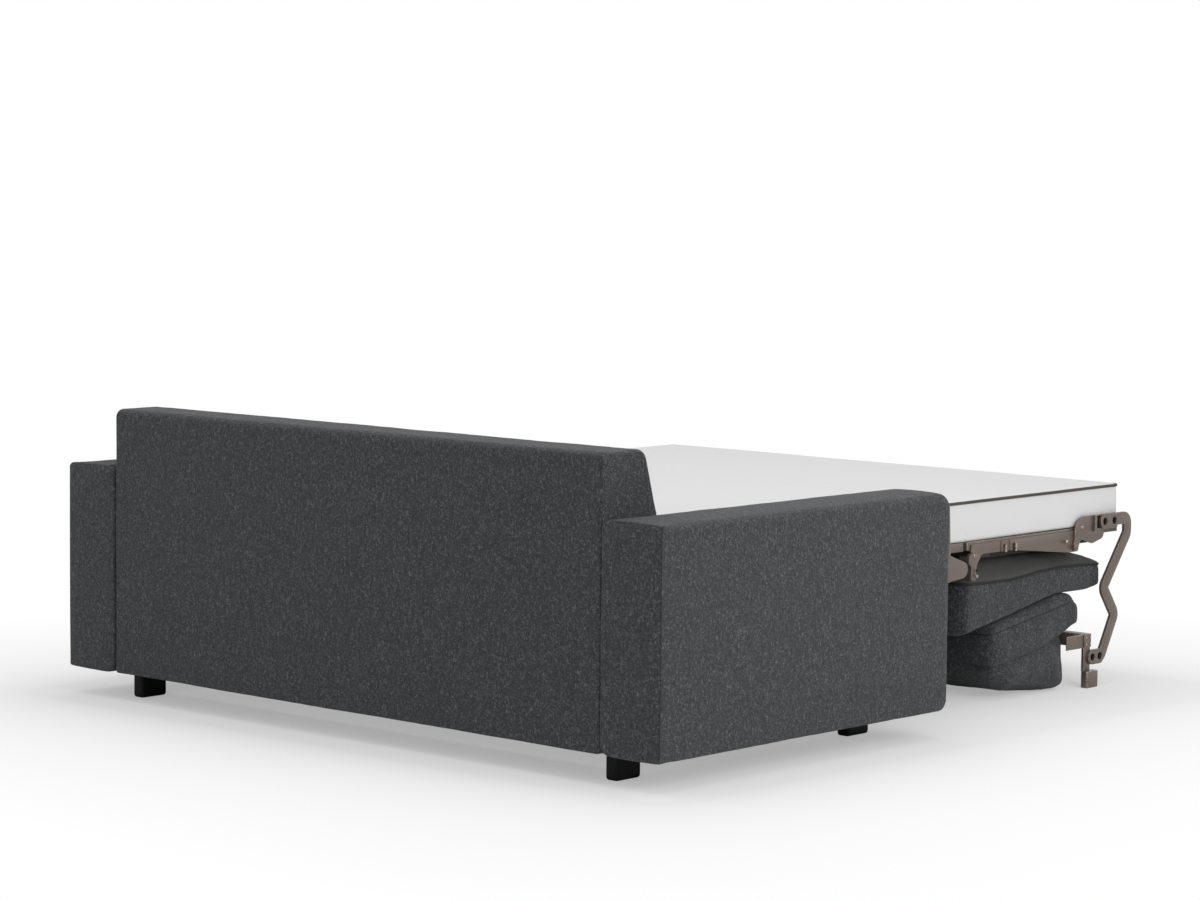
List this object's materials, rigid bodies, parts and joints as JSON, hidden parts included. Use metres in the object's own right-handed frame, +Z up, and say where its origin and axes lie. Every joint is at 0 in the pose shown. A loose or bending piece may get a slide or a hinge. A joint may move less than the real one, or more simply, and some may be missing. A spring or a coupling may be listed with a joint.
{
  "type": "sleeper sofa",
  "caption": "Upholstered sleeper sofa with block feet, shown with its folding steel bed and mattress opened out and the seat cushions turned under the foot end.",
  "frame": {"origin": "centre of the footprint, on the floor", "axes": "+Z up, +X to the sitter's left, the back at +Y and the foot of the open bed at -Y"},
  "size_m": [2.05, 2.183, 0.755],
  "materials": {
    "upholstery": "charcoal melange woven upholstery cloth",
    "cushion_fabric": "charcoal melange woven cloth with a smooth dark lining on the underside",
    "frame_wood": "plain sawn softwood and plywood, unfinished",
    "stained_board": "plywood and battens stained nearly black",
    "dust_cloth": "thin black non-woven cloth",
    "foot_plastic": "matt black moulded plastic",
    "mattress_cover": "smooth white knitted mattress cover",
    "painted_steel": "warm taupe powder coat, satin",
    "bright_wire": "bright zinc plated steel"
  },
  "bodies": {
    "body": {"arm_cover_left": "upholstery", "arm_cover_right": "upholstery", "arm_frame_left": "frame_wood", "arm_frame_right": "frame_wood", "arm_dust_cover_left": "dust_cloth", "arm_dust_cover_right": "dust_cloth", "back_cover": "upholstery", "back_frame": "frame_wood", "back_dust_cover": "dust_cloth", "base_rail_left": "frame_wood", "base_rail_right": "frame_wood", "foot_rear_left": "foot_plastic", "foot_rear_right": "foot_plastic", "foot_front_left": "foot_plastic", "foot_front_right": "foot_plastic", "body_plate_left": "painted_steel", "body_plate_right": "painted_steel", "hanger_bolts": "painted_steel"},
    "head_section": {"mattress_head": "mattress_cover", "bed_base_head": "painted_steel", "head_hanger_left": "painted_steel", "head_hanger_right": "painted_steel", "hanger_spacers": "painted_steel", "head_fold_ear_left": "painted_steel", "head_fold_ear_right": "painted_steel", "fold_bolts": "painted_steel"},
    "middle_section": {"mattress_middle": "mattress_cover", "bed_base_middle": "painted_steel", "middle_fold_ear_left": "painted_steel", "middle_fold_ear_right": "painted_steel", "link_bracket_left": "painted_steel", "link_bracket_right": "painted_steel", "link_bolts": "painted_steel"},
    "fold_links": {"fold_link_left": "painted_steel", "fold_link_right": "painted_steel"},
    "foot_section": {"mattress_foot": "mattress_cover", "bed_base_foot": "painted_steel", "side_rail_left": "painted_steel", "side_rail_right": "painted_steel", "leg_bolts": "painted_steel", "seat_board": "stained_board", "seat_cleats": "stained_board", "seat_cushion_left": "cushion_fabric", "seat_cushion_right": "cushion_fabric", "mattress_retainers": "bright_wire"},
    "leg_frame": {"leg_bracket_left": "painted_steel", "leg_bracket_right": "painted_steel", "crooked_leg_left": "painted_steel", "crooked_leg_right": "painted_steel", "leg_post_left": "painted_steel", "leg_post_right": "painted_steel", "leg_pad_left": "painted_steel", "leg_pad_right": "painted_steel", "end_plate_left": "painted_steel", "end_plate_right": "painted_steel", "end_plate_screws": "bright_wire", "cross_bar": "painted_steel"},
    "back_cushions": {"back_cushion_left": "cushion_fabric", "back_cushion_right": "cushion_fabric"}
  },
  "joints": [
    {"name": "bed_fold", "type": "hinge", "parent": "body", "child": "head_section", "pos_m": [0, 0.7405, 0.566], "axis": [1, 0, 0], "range_deg": [0, 90]},
    {"name": "middle_fold", "type": "hinge", "parent": "head_section", "child": "middle_section", "pos_m": [0, 0.3665, 0.5453], "axis": [-1, 0, 0], "range_deg": [0, 90]},
    {"name": "foot_fold", "type": "hinge", "parent": "middle_section", "child": "foot_section", "pos_m": [0, -0.3535, 0.5453], "axis": [-1, 0, 0], "range_deg": [0, 180]},
    {"name": "link_turn", "type": "hinge", "parent": "middle_section", "child": "fold_links", "pos_m": [0, -0.2545, 0.531], "axis": [-1, 0, 0], "range_deg": [0, 117]},
    {"name": "leg_turn", "type": "hinge", "parent": "foot_section", "child": "leg_frame", "pos_m": [0, -0.8375, 0.385], "axis": [-1, 0, 0], "range_deg": [0, 36]},
    {"name": "back_cushion_turn", "type": "hinge", "parent": "foot_section", "child": "back_cushions", "pos_m": [0, -0.8705, 0.22], "axis": [-1, 0, 0], "range_deg": [0, 82]}
  ],
  "couplings": [
    {"joint": "middle_fold", "follows": "bed_fold", "ratio": 1},
    {"joint": "foot_fold", "follows": "bed_fold", "ratio": 2},
    {"joint": "link_turn", "follows": "bed_fold", "ratio": 1.3},
    {"joint": "leg_turn", "follows": "bed_fold", "ratio": 0.4},
    {"joint": "back_cushion_turn", "follows": "bed_fold", "ratio": 0.91111}
  ]
}
